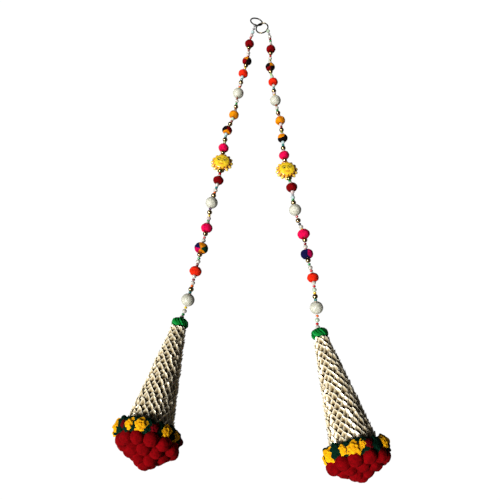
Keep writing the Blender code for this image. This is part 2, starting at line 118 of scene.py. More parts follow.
# ---- Hanging rings ----
# Each string ends in a ring of plated wire, bent round until its cut ends meet. The two rings are
# linked, and each lies tipped against the other.
RING_RADIUS = 12 * MM
WIRE_RADIUS = 1 * MM
# The wire is shown a little thicker than the solids have it, and nipped in at its cut ends.
SHOWN_WIRE = 1.35 * WIRE_RADIUS
CUT_END = 0.72
RINGS_APART = 21 * MM
RING_TILT = math.radians(15)
RINGS_MIDDLE = np.array((18.6, 846.0, 0.0)) * MM + PLAN_ZERO
RINGS_HEADING = np.array((0.523, -0.852, 0.0)) / math.hypot(0.523, 0.852)
SIDES = {"left": -1, "right": 1}


def unit(vectors):
    """Each vector divided by its length."""
    return vectors / np.linalg.norm(vectors, axis=-1, keepdims=True)


def turns(count):
    """This many angles, evenly round one turn."""
    return np.linspace(0, 2 * math.pi, count, endpoint=False)


def above_table(points, gap=0.1 * MM):
    """The points, pressed flat where they would come nearer to the table than this gap."""
    return np.concatenate([points[..., :2], np.maximum(points[..., 2:], gap)], -1)


def skin(points, looped=False, tint=None):
    """The closed skins through points[copy, row, column], columns running round and rows along.

    Each end closes on the middle of its last ring, unless the rows are looped into a hoop. Tint is the
    colours of the same grid, where it has any. A skin that comes out with its faces inwards is turned.
    """
    copies, rows, columns = points.shape[:3]
    row, column = np.meshgrid(np.arange(rows if looped else rows - 1), np.arange(columns), indexing="ij")
    after, beside = (row + 1) % rows * columns, (column + 1) % columns
    quads = [row * columns + column, row * columns + beside, after + beside, after + column]
    faces = [np.stack(quads, -1).reshape(-1, 4)]

    def spread(grid):
        flat = grid.reshape(copies, rows * columns, 3)
        if not looped:
            flat = np.concatenate([flat, grid[:, :1].mean(2), grid[:, -1:].mean(2)], 1)
        return flat

    if not looped:
        round_ = np.arange(columns)
        first = np.stack([np.full(columns, rows * columns), (round_ + 1) % columns, round_], -1)
        last = (rows - 1) * columns + np.stack([np.full(columns, columns + 1), round_, (round_ + 1) % columns], -1)
        faces.append(np.concatenate([first, last]))
    places = spread(points)
    corners = places[0][faces[0]] - places[0].mean(0)
    volume = (np.cross(corners[:, 0], corners[:, 1]) * corners[:, 2]).sum()
    volume += (np.cross(corners[:, 0], corners[:, 2]) * corners[:, 3]).sum()
    if volume < 0:
        faces = [block[:, ::-1] for block in faces]
    step = places.shape[1] * np.arange(copies)[:, None, None]
    blocks = [(block[None] + step).reshape(-1, block.shape[1]) for block in faces]
    if tint is not None:
        tint = spread(np.broadcast_to(tint, points.shape)).reshape(-1, 3)
    return places.reshape(-1, 3), blocks, tint


def add_piece(name, skins, finish, nodes, crease=60):
    """One object made of several skins, riding on the model in place of the nodes named."""
    starts = np.cumsum([0] + [len(places) for places, _, _ in skins])
    blocks = [block + start for (_, parts, _), start in zip(skins, starts) for block in parts]
    sizes = np.concatenate([np.full(len(block), block.shape[1]) for block in blocks])
    mesh = bpy.data.meshes.new(name)
    mesh.vertices.add(starts[-1])
    mesh.vertices.foreach_set("co", np.concatenate([places for places, _, _ in skins]).astype(np.float32).ravel())
    mesh.loops.add(int(sizes.sum()))
    mesh.loops.foreach_set("vertex_index", np.concatenate([block.ravel() for block in blocks]).astype(np.int32))
    mesh.polygons.add(len(sizes))
    mesh.polygons.foreach_set("loop_start", (np.cumsum(sizes) - sizes).astype(np.int32))
    mesh.update(calc_edges=True)
    if skins[0][2] is not None:
        layer = mesh.color_attributes.new("tint", "FLOAT_COLOR", "POINT")
        colours = np.ones((starts[-1], 4), np.float32)
        colours[:, :3] = np.concatenate([tint for _, _, tint in skins])
        layer.data.foreach_set("color", colours.ravel())
    mesh.shade_smooth()
    mesh.set_sharp_from_angle(angle=math.radians(crease))
    mesh.materials.append(finish)
    piece = bpy.data.objects.new(name, mesh)
    bpy.context.scene.collection.objects.link(piece)
    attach(piece, "root")
    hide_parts(*nodes)


def tube(path, radius, reference, sides, closed=False):
    """Rings of points square to a path: centre + radius (aside cos a + other sin a), a from 0 to a turn.

    The directions aside and other are square to the path's own way; reference picks how they turn.
    """
    if closed:
        way = unit(np.roll(path, -1, -2) - np.roll(path, 1, -2))
    else:
        way = unit(np.gradient(path, axis=-2))
    aside = unit(np.cross(way, reference))
    other = np.cross(aside, way)
    turn = turns(sides)[:, None]
    ring = np.cos(turn) * aside[..., None, :] + np.sin(turn) * other[..., None, :]
    return path[..., None, :] + np.asarray(radius)[..., None, None] * ring


def new_finish(name, **plain):
    """A material with its Principled shader, whose plain values are set on the shader's own sockets."""
    finish = bpy.data.materials.new(name)
    finish.use_nodes = True
    shader = finish.node_tree.nodes["Principled BSDF"]
    for socket, value in plain.items():
        shader.inputs[socket.replace("_", " ")].default_value = value
    return finish, finish.node_tree, shader


def new_group(name, inputs, outputs):
    """A node group with sockets of these kinds, and the values that it is given."""
    group = bpy.data.node_groups.new(name, "ShaderNodeTree")
    for in_out, sockets in (("INPUT", inputs), ("OUTPUT", outputs)):
        for socket, kind in sockets.items():
            group.interface.new_socket(name=socket, in_out=in_out, socket_type=f"NodeSocket{kind}")
    return group, group.nodes.new("NodeGroupInput").outputs


def own_tint(tree):
    """The colour that the piece's own points carry."""
    return wire(tree, "ShaderNodeAttribute", attribute_name="tint").outputs["Color"]


def noise(tree, scale, detail, **more):
    """Clouds from 0 to 1 in the piece's own space."""
    place = wire(tree, "ShaderNodeTexCoord").outputs["Object"]
    given = {"Vector": place, "Scale": scale, "Detail": detail, **more}
    return wire(tree, "ShaderNodeTexNoise", given).outputs["Fac"]


def blend(tree, share, first, second, how="MIX"):
    """The colour this share of the way from the first to the second, or to their product."""
    given = {0: share, 6: first, 7: second}
    return wire(tree, "ShaderNodeMix", given, data_type="RGBA", blend_type=how).outputs[2]


# Fine wear for metal: cloudy tarnish in the colour, and small scratches in the gloss.
tarnish, given = new_group(
    "Tarnish", {"Bright": "Color", "Dull": "Color", "Size": "Float"}, {"Colour": "Color", "Roughness": "Float"}
)
dulled = stretch(tarnish, noise(tarnish, given["Size"], 3.0), 0.42, 0.72)
coloured = blend(tarnish, dulled, given["Bright"], given["Dull"])
gloss = stretch(tarnish, noise(tarnish, 2600.0, 2.0), 0.0, 1.0, 0.14, 0.42)
wire(tarnish, "NodeGroupOutput", {"Colour": coloured, "Roughness": gloss})


def metal_finish(name, bright, dull, size):
    """A tarnished metal: the shared wear between a bright and a dull colour."""
    finish, tree, shader = new_finish(name, Metallic=1.0)
    given = {"Bright": (*bright, 1), "Dull": (*dull, 1), "Size": size}
    worn = wire(tree, "ShaderNodeGroup", given, node_tree=tarnish).outputs
    tree.links.new(worn["Colour"], shader.inputs["Base Color"])
    tree.links.new(worn["Roughness"], shader.inputs["Roughness"])
    return finish


def ring_frame(side):
    """Middle, along, across and upright directions of a ring, as the solids have them."""
    sign = SIDES[side]
    level = np.array((-RINGS_HEADING[1], RINGS_HEADING[0], 0.0))
    across = level * math.cos(RING_TILT) + np.array((0, 0, sign * math.sin(RING_TILT)))
    middle = RINGS_MIDDLE + RINGS_HEADING * (sign * RINGS_APART / 2)
    middle[2] = WIRE_RADIUS + RING_RADIUS * math.sin(RING_TILT)
    return middle, RINGS_HEADING, across, np.cross(RINGS_HEADING, across)


STEELS = {
    "left": ((0.07, 0.06, 0.055), (0.015, 0.012, 0.010)),
    "right": ((0.26, 0.21, 0.13), (0.06, 0.045, 0.03)),
}
for side in SIDES:
    middle, along, across, upright = ring_frame(side)
    turn = np.radians(np.linspace(2, 358, 120) + 100)
    path = middle + RING_RADIUS * (np.cos(turn)[:, None] * along + np.sin(turn)[:, None] * across)
    girth = np.full(len(turn), SHOWN_WIRE)
    steel = metal_finish(f"ring steel {side}", *STEELS[side], 240.0)
    girth[[0, -1]] *= CUT_END
    rings = above_table(tube(path[None], girth, upright, 16))
    add_piece(f"wire_ring_{side}", [skin(rings)], steel, [f"ring_{side}"])

# ---- Thread ----
# A doubled cotton thread, hooked round the wire of the ring, runs through every bead down to the top
# of the tassel. It lies in shallow dips between the big beads that carry it.
THREAD_RADIUS = 0.5 * MM
BEAD_SIZES = {"gilt": (8.3, 8.0), "pearl": (6.9, 6.2), "seed": (5.0, 3.4)}
SEEDS = "silver red white maroon teal green lime brown yellow olive orange pink black purple blue"
BIG_SEATS = {"pom": 0.28, "sugar": 0.495}
SUN_FACE = 13.6 * MM
SUN_THREAD_HEIGHT = 8 * MM
COLLAR_RADIUS = 12.4 * MM
COLLAR_HALF = 7 * MM
DIP_TO = 5.5 * MM
FULL_DIP_SPAN = 45 * MM
TWIST = 3.2 * MM
STRAND_OUT = 0.27 * MM
STRAND_RADIUS = 0.24 * MM

# One row for each big bead, from the ring down: what it is, its wool, its diameter, where it lies
# (millimetres in plan), and the small beads strung just above it. A pom wound in several colours
# gives for each the direction that it shows in, in degrees as the camera sees it.
Row = namedtuple("Row", "kind wool size x y strung")
ROWS = {
    "left": (
        Row("pom", "maroon", 18, -1.0, 788.0, "silver silver teal-pearl rose-pearl red white"),
        Row(
            "pom", "yellow:95 black:10 maroon:-160 black:-80", 18, -5.7, 742.0,
            "gilt maroon pearl rose-pearl maroon white",
        ),  # fmt: skip
        Row("pom", "orange", 18, -12.8, 709.9, "gilt yellow pearl"),
        Row("sugar", "white", 20, -21.6, 660.8, "teal-pearl teal gilt pearl red yellow"),
        Row("pom", "yellow", 18, -28.7, 610.5, "brown pearl green gilt brown pearl"),
        Row("pom", "black:145 maroon:25 yellow:-110", 18, -40.2, 575.6, "lime-pearl maroon gilt cream-pearl"),
        Row("pom", "pink", 18, -45.6, 537.2, "teal-pearl teal gilt olive pearl"),
        Row("sun", "yellow", 38, -48.1, 508.8, "gilt"),
        Row("pom", "maroon", 18, -52.8, 470.5, "bronze-gilt red pearl"),
        Row("sugar", "white", 20, -62.4, 426.5, "pearl teal pearl orange gilt"),
        Row("pom", "pink", 19, -68.7, 379.9, "purple gilt yellow rose-pearl green pearl"),
        Row("pom", "navy:155 magenta:185 yellow:60 yellow:-80 green:-15", 22, -75.7, 343.4, "gilt red pearl blue"),
        Row("pom", "orange", 19, -82.9, 305.0, "gilt green pearl maroon white"),
        Row("sugar", "white", 20, -92.0, 258.4, "pearl maroon pearl orange gilt teal"),
        Row("collar", "green", 31, -101.4, 220.9, "yellow pearl green rose-pearl"),
    ),
    "right": (
        Row("pom", "maroon", 18, 40.4, 773.6, "lime-pearl silver pearl maroon green white pearl"),
        Row("pom", "black:170 maroon:-125 yellow:45 black:-30", 18, 38.1, 726.7, "gilt red pearl olive pearl white"),
        Row("pom", "orange", 18, 43.0, 688.9, "gilt lime lime-pearl red"),
        Row("sugar", "white", 20, 46.2, 643.4, "pearl teal gilt rose-pearl yellow"),
        Row("pom", "yellow", 18, 53.9, 597.5, "brown pearl green gilt maroon pearl"),
        Row("pom", "yellow:125 black:-20 black:-110", 18, 56.9, 558.6, "rose-pearl maroon gilt olive pearl"),
        Row("pom", "pink", 18, 58.5, 521.8, "teal-pearl teal gilt rose-pearl"),
        Row("sun", "yellow", 38, 62.3, 493.4, "rose-gilt"),
        Row("pom", "maroon", 19, 69.1, 456.2, "bronze-gilt green pearl"),
        Row("sugar", "white", 20, 73.1, 413.0, "rose-pearl silver teal-pearl green gilt"),
        Row("pom", "pink", 20, 84.7, 368.7, "red gilt black pearl yellow"),
        Row("pom", "navy:150 navy:-100 magenta:15", 20, 88.0, 333.6, "gilt maroon pearl pink"),
        Row("pom", "orange", 18, 95.4, 294.6, "gilt green pearl red white"),
        Row("sugar", "white", 20, 97.8, 246.2, "pearl red lime-pearl yellow gilt teal"),
        Row("collar", "green", 31, 99.7, 205.4, "orange lime-pearl red pearl"),
    ),
}
TASSEL_SWING = {"left": math.radians(-10.2), "right": math.radians(11.2)}
TASSEL_RISE = math.radians(10.4)


def bead_kind(name):
    """Which of the three small bead shapes a bead's name stands for."""
    return "seed" if name in SEEDS.split() else name.split("-")[-1]


def tassel_way(side):
    """The way a tassel points from its collar: along -Y, swung aside, its foot raised."""
    swing, flat = TASSEL_SWING[side], math.cos(TASSEL_RISE)
    return np.array((flat * math.sin(swing), -flat * math.cos(swing), math.sin(TASSEL_RISE)))


def big_places(side):
    """Middle of each big bead and the thread's way through it, from the bead above to the one below."""
    rows = ROWS[side]
    heights = []
    for row in rows:
        if row.kind == "sun":
            heights.append(SUN_THREAD_HEIGHT)
        elif row.kind == "collar":
            heights.append(COLLAR_RADIUS - 0.3 * MM)
        else:
            heights.append(row.size * MM / 2 * math.cos(math.pi / 10))
    places = np.array([(row.x * MM, row.y * MM, height) for row, height in zip(rows, heights)]) + PLAN_ZERO
    above = np.concatenate([places[:1], places[:-2]])
    ways = (places[1:] - above) * (1, 1, 0)
    return places, np.concatenate([unit(ways), tassel_way(side)[None]])


def seat(row):
    """Half the length of thread that a big bead takes up."""
    if row.kind == "sun":
        return SUN_FACE + 0.8 * MM
    if row.kind == "collar":
        return COLLAR_HALF + 0.3 * MM
    return BIG_SEATS[row.kind] * row.size * MM


def span(start, start_way, end, end_way, dip, bend):
    """A run of thread: the cubic that leaves along start_way and arrives along end_way, let down by
    dip times the squared sine of half a turn along it."""
    length = np.linalg.norm(end - start)
    t = np.linspace(0, 1, 121)[:, None]
    run = (2 * t**3 - 3 * t**2 + 1) * start + (t**3 - 2 * t**2 + t) * start_way * length * bend
    run = run + (3 * t**2 - 2 * t**3) * end + (t**3 - t**2) * end_way * length
    run[:, 2] -= dip * np.sin(math.pi * t[:, 0]) ** 2
    return run


def travelled_along(path):
    """How far along a path each of its points lies."""
    return np.concatenate([[0], np.cumsum(np.linalg.norm(np.diff(path, axis=0), axis=1))])


def string_up(side):
    """The thread's path from its hook to the tassel, and the (name, middle, way) of each small bead."""
    middle, along, across, upright = ring_frame(side)
    turn = math.radians(-46 if side == "left" else 26)
    outward = along * math.cos(turn) + across * math.sin(turn)
    reach = WIRE_RADIUS + THREAD_RADIUS + 0.4 * MM
    angles = np.radians(np.linspace(300, 90, 22))[:, None]
    path = [middle + outward * RING_RADIUS + (outward * np.cos(angles) + upright * np.sin(angles)) * reach]
    places, ways = big_places(side)
    start, start_way, bend, height = path[0][-1], outward, 0.3, places[0][2]
    beads = []
    for row, place, way in zip(ROWS[side], places, ways):
        end = place - way * seat(row)
        dip = max(0.0, min(height, place[2]) - DIP_TO) * min(1.0, np.linalg.norm(end - start) / FULL_DIP_SPAN)
        run = span(start, start_way, end, way, dip, bend)
        travelled = travelled_along(run)
        names = row.strung.split()
        lengths = [BEAD_SIZES[bead_kind(name)][1] * MM for name in names]
        gap = (travelled[-1] - sum(lengths)) / (len(names) + 1)
        at = gap
        for name, length in zip(names, lengths):
            ends = [[np.interp(s, travelled, run[:, axis]) for axis in range(3)] for s in (at, at + length)]
            beads.append((name, np.mean(ends, 0), unit(np.subtract(ends[1], ends[0]))))
            at += length + gap
        path.append(run[1:-1:3])
        path.append(np.linspace(end, place + way * seat(row), 7))
        start, start_way, bend, height = place + way * seat(row), way, 1.0, place[2]
    path.append((start + ways[-1] * 4 * MM)[None])
    return np.concatenate(path), beads


def bumped(tree, shader, height, strength, depth):
    """The finish with its surface raised by this height."""
    bump = wire(tree, "ShaderNodeBump", {"Height": height, "Strength": strength, "Distance": depth})
    tree.links.new(bump.outputs[0], shader.inputs["Normal"])


cotton, tree, shader = new_finish("cotton thread", Roughness=0.9)
lint = noise(tree, 1800.0, 3.0)
tree.links.new(blend(tree, lint, (0.16, 0.09, 0.05, 1), (0.42, 0.30, 0.18, 1)), shader.inputs["Base Color"])
bumped(tree, shader, lint, 0.5, 0.0002)

strung_beads = {}
for side in SIDES:
    path, strung_beads[side] = string_up(side)
    travelled = travelled_along(path)
    even = np.arange(0, travelled[-1], 0.9 * MM)
    path = np.stack([np.interp(even, travelled, path[:, axis]) for axis in range(3)], -1)
    way = unit(np.gradient(path, axis=0))
    aside = unit(np.cross(way, unit(np.array((0.31, 0.12, 1.0)))))
    other = np.cross(aside, way)
    wound = even[:, None] / TWIST * 2 * math.pi
    offset = (aside * np.cos(wound) + other * np.sin(wound)) * STRAND_OUT
    strands = np.stack([path + offset, path - offset])
    wall = skin(tube(strands, np.full(len(even), STRAND_RADIUS), other, 6))
    add_piece(f"thread_{side}", [wall], cotton, [f"string_{side}"])

# ---- Small beads ----
# Gilt balls, imitation pearls and short glass seed beads, each a round body with a thread hole, are
# strung between the big beads. The pearls carry a faint tint and the seeds come in every colour.
BEAD_HOLE = 0.62 * MM
BEAD_TINTS = {
    "gilt": (0.52, 0.38, 0.17), "bronze-gilt": (0.28, 0.27, 0.11), "rose-gilt": (0.70, 0.42, 0.28),
    "pearl": (0.56, 0.53, 0.46), "teal-pearl": (0.44, 0.58, 0.57), "rose-pearl": (0.60, 0.48, 0.46),
    "lime-pearl": (0.48, 0.60, 0.44), "cream-pearl": (0.60, 0.56, 0.38),
    "silver": (0.30, 0.30, 0.31), "red": (0.55, 0.006, 0.006), "white": (0.60, 0.57, 0.50),
    "maroon": (0.22, 0.004, 0.010), "teal": (0.01, 0.20, 0.18), "green": (0.01, 0.26, 0.05),
    "lime": (0.42, 0.66, 0.24), "brown": (0.26, 0.06, 0.02), "yellow": (0.86, 0.56, 0.02),
    "olive": (0.28, 0.28, 0.03), "orange": (0.85, 0.14, 0.01), "pink": (0.80, 0.16, 0.26),
    "black": (0.012, 0.012, 0.014), "purple": (0.06, 0.01, 0.08), "blue": (0.02, 0.20, 0.36),
}  # fmt: skip
OUTER_STEPS = {"gilt": (13, 1.0), "pearl": (11, 1.0), "seed": (9, 0.55)}


def cross_ways(ways):
    """Two directions square to each way, the second as near upright as it can be."""
    aside = unit(np.cross(ways, (0.0, 0.0, 1.0)))
    return aside, np.cross(aside, ways)


def carried_round(profile, middles, ways, columns):
    """The points of turned beads: middle + h way + r (aside cos a + other sin a) for (r, h) in profile."""
    aside, other = cross_ways(ways)
    turn = turns(columns)
    spoke = np.cos(turn)[None, :, None] * aside[:, None] + np.sin(turn)[None, :, None] * other[:, None]
    r, h = profile[..., 0], profile[..., 1]
    rise = middles[:, None, None] + h[..., None, None] * ways[:, None, None]
    return rise + r[..., None, None] * spoke[:, None]


def bored_profile(radius, half, steps, squareness):
    """(radius, height) round the wall of a bored bead: r = R sin(t)^squareness, h = half cos t, and back
    along the hole."""
    tip = math.asin((BEAD_HOLE / radius) ** (1 / squareness))
    t = np.linspace(tip, math.pi - tip, steps)
    outer = np.stack([radius * np.sin(t) ** squareness, half * np.cos(t)], -1)
    return np.concatenate([outer, outer[::-1][[2, steps // 2, -3]] * (0, 0.9) + (0.86 * BEAD_HOLE, 0)])


def mottled_finish(name, grain, fade, dent, depth, **plain):
    """A surface in the piece's own tint, mottled between two shares of it by clouds that also dent it."""
    finish, tree, shader = new_finish(name, **plain)
    cloud = noise(tree, grain, 3.0)
    shaded = blend(tree, 1.0, own_tint(tree), stretch(tree, cloud, 0.3, 0.7, *fade), "MULTIPLY")
    tree.links.new(shaded, shader.inputs["Base Color"])
    bumped(tree, shader, cloud, dent, depth)
    return finish


tinted = {
    "gilt": mottled_finish("gilt beads", 420.0, (0.70, 1.2), 0.25, 0.0003, Metallic=1.0, Roughness=0.2),
    "pearl": mottled_finish("pearl beads", 420.0, (0.86, 1.1), 0.1, 0.0003, Roughness=0.22, Coat_Weight=0.6),
    "seed": mottled_finish("seed beads", 420.0, (0.80, 1.2), 0.15, 0.0003, Roughness=0.12, Coat_Weight=1.0),
}

for side in SIDES:
    for kind, (across, along) in BEAD_SIZES.items():
        found = [bead for bead in strung_beads[side] if bead_kind(bead[0]) == kind]
        names, middles, ways = zip(*found)
        steps, squareness = OUTER_STEPS[kind]
        profile = bored_profile(across * MM / 2, along * MM / 2, steps, squareness)
        uneven = 1 + 0.04 * np.random.default_rng(7).uniform(-1, 1, (len(names), 1, 1))
        profile = profile[None] * uneven
        points = carried_round(profile, np.array(middles), np.array(ways), 18)
        tints = np.array([BEAD_TINTS[name] for name in names])[:, None, None]
        wall = skin(points, looped=True, tint=tints)
        add_piece(f"{kind}_beads_{side}", [wall], tinted[kind], [f"string_{side}"])

# ---- Wool poms ----
# Balls of wound and trimmed wool, drawn in by the thread to a hollow at each end, where the next bead
# nestles. The cut ends stand in small tufts, and some fibres stray. A few are wound in several colours.
EYE_RIGHT = np.array((1, 0, 0))
EYE_UP, EYE_FRONT = np.array((0, 0.899, 0.438)), np.array((0, -0.438, 0.899))
TO_THE_SIDE = 0.80
WOOLS = {
    "maroon": (0.22, 0.0015, 0.003), "orange": (0.98, 0.026, 0.006), "yellow": (0.88, 0.27, 0.003),
    "pink": (0.84, 0.004, 0.080), "black": (0.008, 0.004, 0.005), "navy": (0.008, 0.008, 0.070),
    "magenta": (0.60, 0.002, 0.085), "green": (0.003, 0.050, 0.018), "red": (0.235, 0.0007, 0.0025),
}  # fmt: skip
POM_ROWS, POM_COLUMNS = 36, 56
TUFT = 1.15 * MM
CLUMP = 3.6 * MM


def lumps(points, size, seed):
    """Smooth random heights from -1 to 1: a random number at each corner of a lattice of cubes of this
    size, eased from corner to corner."""
    numbers = np.random.default_rng(seed).uniform(-1, 1, 4096)
    low = np.floor(points / size).astype(int)
    part = points / size - low
    part = part * part * (3 - 2 * part)
    total = np.zeros(points.shape[:-1])
    for corner in np.ndindex(2, 2, 2):
        x, y, z = np.moveaxis(low + corner, -1, 0)
        pick = (x * 73856093 ^ y * 19349663 ^ z * 83492791) % 4096
        total += np.where(corner, part, 1 - part).prod(-1) * numbers[pick]
    return total


def wool_colours(wool, outward, seed):
    """Each point's wool: of the colours that the pom is wound in, the one whose direction is nearest."""
    if ":" not in wool:
        return np.array(WOOLS[wool])
    names, directions = zip(*(part.split(":") for part in wool.split()))
    angle = np.radians([float(direction) for direction in directions])[:, None]
    outer = np.cos(angle) * EYE_RIGHT + np.sin(angle) * EYE_UP
    towards = TO_THE_SIDE * outer + math.sqrt(1 - TO_THE_SIDE**2) * EYE_FRONT
    near = outward @ towards.T + 0.07 * lumps(outward, 0.13, seed)[..., None]
    return np.array([WOOLS[name] for name in names])[near.argmax(-1)]


def fuzz(roots, outward, length, seed, tint):
    """Stray fibres: thin three-sided spikes from each root, bent a little off the way outwards."""
    rng = np.random.default_rng(seed)
    lean = unit(outward + 0.45 * rng.normal(size=outward.shape))
    curl = unit(outward + 0.9 * rng.normal(size=outward.shape))
    reach = length * rng.uniform(0.5, 1.0, (len(roots), 1))
    path = np.stack([roots, roots + lean * reach * 0.6, roots + lean * reach * 0.6 + curl * reach * 0.4], 1)
    girth = np.broadcast_to((0.09 * MM, 0.065 * MM, 0.02 * MM), path.shape[:2])
    return skin(tube(path, girth, (0.21, 0.35, 0.91), 3), tint=tint)


def wool_ball(middle, way, radius, half, hollow, wool, seed, rows=POM_ROWS, columns=POM_COLUMNS, stray=160):
    """A trimmed ball of wool: r = radius sin t, h = half cos t, drawn in at the poles by hollow, then
    pushed in and out by tufts of cut ends and by broader clumps; with its stray fibres."""
    t = np.linspace(0.06, math.pi - 0.06, rows)
    rise = half * np.cos(t) * (1 - hollow * np.exp(-((np.sin(t) / 0.36) ** 2)))
    profile = np.stack([radius * np.sin(t) ** 0.94, rise], -1)[None]
    points = carried_round(profile, middle[None], way[None], columns)
    out = unit(points - middle)
    tufts, clumps = lumps(points, TUFT, seed), lumps(points, CLUMP, seed + 1)
    depth = 0.24 * MM * tufts + 0.40 * MM * clumps - 0.2 * MM
    points = above_table(points + out * depth[..., None])
    # Painted shade and light: the wool is darker in the hollows between tufts and clumps and lighter on their tops.
    painted_shade = np.clip(0.84 + 0.30 * tufts + 0.26 * clumps, 0.3, 1.25)[..., None]
    rng = np.random.default_rng(seed)
    pick = rng.integers(3, rows - 3, stray), rng.integers(0, columns, stray)
    roots, ends_out = points[0][pick], out[0][pick]
    kept = roots[:, 2] > 1.6 * MM
    hair = wool_colours(wool, ends_out[kept][:, None, None], seed)
    return [
        skin(points, tint=wool_colours(wool, out, seed) * painted_shade),
        fuzz(roots[kept] - ends_out[kept] * 0.2 * MM, ends_out[kept], 1.15 * MM, seed, hair),
    ]


# Spun and cut fibre: its own tint, lighter and darker from fibre to fibre, and the relief that goes with it.
fibre, given = new_group("Fibre", {"Tint": "Color", "Fineness": "Float"}, {"Colour": "Color", "Height": "Float"})
ends = noise(fibre, given["Fineness"], 5.0, Roughness=0.7)
shaded = blend(fibre, 1.0, given["Tint"], stretch(fibre, ends, 0.3, 0.7, 0.62, 1.3), "MULTIPLY")
wire(fibre, "NodeGroupOutput", {"Colour": shaded, "Height": ends})


def fibre_finish(name, fineness, relief):
    """Wool or yarn: the shared fibre pattern over the piece's own tint, matt with a soft sheen."""
    finish, tree, shader = new_finish(name, Roughness=0.95, Specular_IOR_Level=0.04)
    given = {"Tint": own_tint(tree), "Fineness": fineness}
    spun = wire(tree, "ShaderNodeGroup", given, node_tree=fibre).outputs
    tree.links.new(spun["Colour"], shader.inputs["Base Color"])
    bumped(tree, shader, spun["Height"], 0.7, relief)
    return finish


wool_finish = fibre_finish("trimmed wool", 1500.0, 0.0004)
places = {side: big_places(side) for side in SIDES}


def big_beads(kind):
    """Side, number down the string, row, middle and way of each big bead of one kind."""
    for side in SIDES:
        found = [bead for bead in zip(ROWS[side], *places[side]) if bead[0].kind == kind]
        yield from ((side, number, *bead) for number, bead in enumerate(found, 1))


for side, number, row, middle, way in big_beads("pom"):
    name, size = f"pom_{side}_{number:02d}", row.size * MM
    ball = wool_ball(middle, way, size / 2, 0.41 * size, 0.34, row.wool, 100 * number + SIDES[side])
    add_piece(f"wool_{name}", ball, wool_finish, [name])

# ---- Sugared beads ----
# Plain round beads rolled in fine glass grain while tacky, so that they look dipped in sugar. The
# grain is cream on its peaks, with a darker greyish green painted shade in its hollows.
SUGAR_HOLE = 1.3 * MM
# Cream for the grain's peaks, and a darker painted shade for its hollows.
SHADED_SUGAR_HOLLOW, SUGAR_PEAK = (0.42, 0.43, 0.31), (0.92, 0.89, 0.76)


def mixed(first, second, share):
    """The colour this share of the way from the first to the second."""
    return np.array(first) * (1 - share) + np.array(second) * share


def sugared_ball(middle, way, radius, seed):
    """r = radius sin t, h = 0.97 radius cos t, roughened by two sizes of grain, with a thread hole."""
    tip = math.asin(SUGAR_HOLE / radius)
    t = np.linspace(tip, math.pi - tip, 70)
    outer = np.stack([radius * np.sin(t), 0.97 * radius * np.cos(t)], -1)
    hole = np.stack([np.full(3, 0.9 * SUGAR_HOLE), np.array((-0.9, 0, 0.9)) * radius], -1)
    points = carried_round(np.concatenate([outer, hole])[None], middle[None], way[None], 102)
    coarse, fine = lumps(points, 1.25 * MM, seed), lumps(points, 0.55 * MM, seed + 1)
    push = 0.20 * MM * coarse + 0.14 * MM * fine - 0.12 * MM
    push[:, len(outer):] = 0
    # Painted shade: the lumps that roughen the surface also take the grain from its cream peak colour to the darker
    # hollow colour.
    unshaded_grain = np.clip(0.5 + 0.45 * coarse + 0.35 * fine, 0, 1)[..., None]
    points = above_table(points + unit(points - middle) * push[..., None])
    return skin(points, looped=True, tint=mixed(SHADED_SUGAR_HOLLOW, SUGAR_PEAK, unshaded_grain))


sugar, tree, shader = new_finish("sugared bead", Roughness=0.45, Coat_Weight=0.25, Coat_Roughness=0.15)
place = wire(tree, "ShaderNodeTexCoord").outputs["Object"]
grain = wire(tree, "ShaderNodeTexVoronoi", {"Vector": place, "Scale": 1500.0}).outputs["Distance"]
# Painted glints and shade: each grain is brighter than its tint at its middle and darker towards its edges.
painted_grain_glints = blend(tree, 1.0, own_tint(tree), stretch(tree, grain, 0.0, 1.0, 1.25, 0.55), "MULTIPLY")
tree.links.new(painted_grain_glints, shader.inputs["Base Color"])
bumped(tree, shader, grain, 0.8, 0.0003)
for side, number, row, middle, way in big_beads("sugar"):
    name = f"sugar_{side}_{number:02d}"
    ball = sugared_ball(middle, way, row.size * MM / 2 - 0.1 * MM, 40 + number + SIDES[side] * 10)
    add_piece(f"grained_{name}", [ball], sugar, [name])

# ---- Sun beads ----
# A moulded and hand-painted sun: a thick round back, a ring of pointed rays with dark red between
# them, and a domed face with raised brows, eyes, nose, cheeks and lips. The thread runs through it.
SUN_RAYS = 14
SUN_TURNS = 280
FACE_RINGS = 60
YELLOW, AMBER, PAINT_RED = (0.95, 0.64, 0.020), (0.90, 0.36, 0.012), (0.17, 0.004, 0.003)
OLIVE, INK, LIP = (0.25, 0.22, 0.010), (0.008, 0.007, 0.005), (0.80, 0.26, 0.020)
EYE_YELLOW, TIP_YELLOW = (0.93, 0.86, 0.30), (0.90, 0.66, 0.10)


def hill(x, y, at_x, at_y, wide, tall):
    """A smooth hill from 0 to 1 about (at_x, at_y): exp of minus the squared distance in its own widths."""
    return np.exp(-(((x - at_x) / wide) ** 2) - ((y - at_y) / tall) ** 2)


